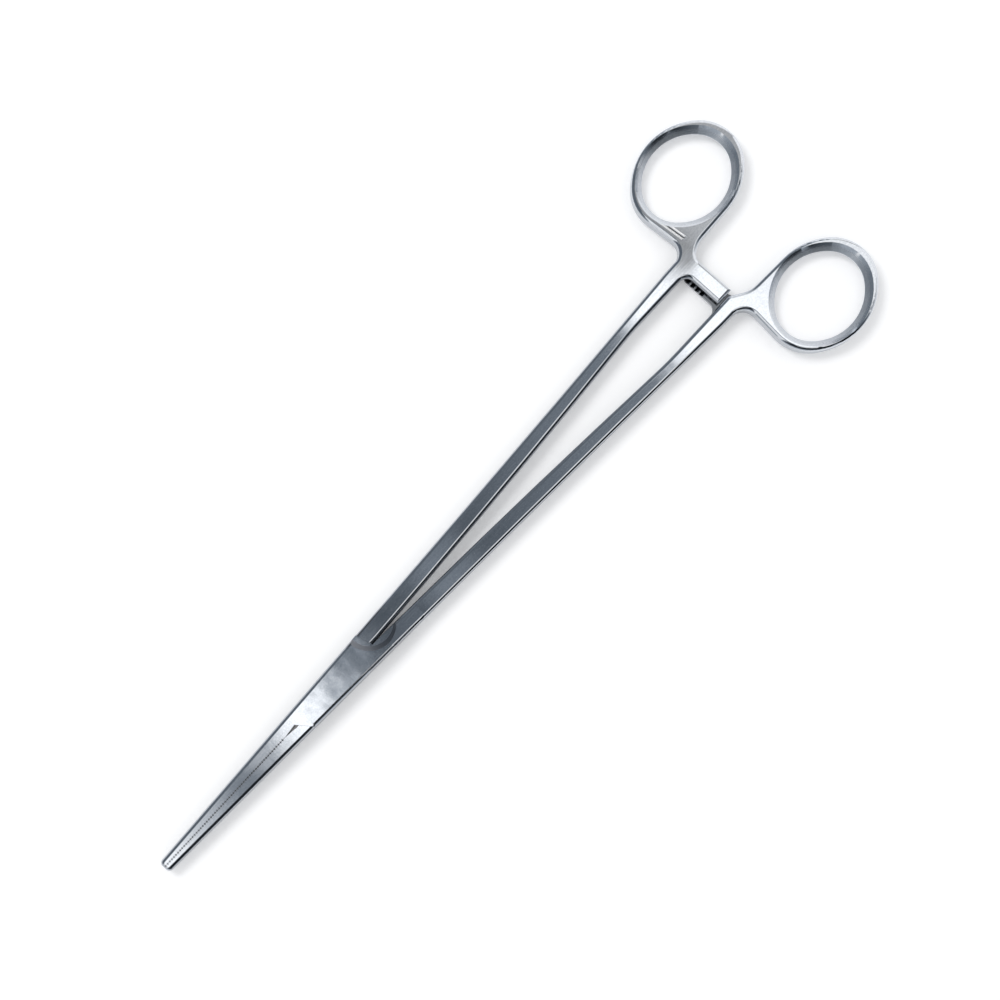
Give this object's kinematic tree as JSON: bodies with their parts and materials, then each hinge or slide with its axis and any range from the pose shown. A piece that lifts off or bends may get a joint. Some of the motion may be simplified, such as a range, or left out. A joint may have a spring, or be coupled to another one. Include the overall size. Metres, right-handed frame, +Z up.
{
  "type": "hemostatic forceps",
  "caption": "Straight box-lock forceps with oval finger rings, a ratchet catch between the handles and slim tapered jaws with cross serrations.",
  "frame": {"origin": "on the axis of the lock pin, level with the flat underside of the box lock", "axes": "+X from the pin to the finger rings, +Y towards the ring of the male half, +Z up out of the upper face of the box, along the pin"},
  "size_m": [0.2504, 0.0782, 0.0054],
  "materials": {
    "polished_steel": "stainless steel, polished, with fine brushing across the jaws"
  },
  "bodies": {
    "female_body": {"female_half": "polished_steel", "lock_pin": "polished_steel"},
    "male_body": {"male_half": "polished_steel"}
  },
  "joints": [
    {"name": "box_lock_hinge", "type": "hinge", "parent": "female_body", "child": "male_body", "pos_m": [0, 0, 0], "axis": [0, 0, 1], "range_deg": [0, 60]}
  ]
}
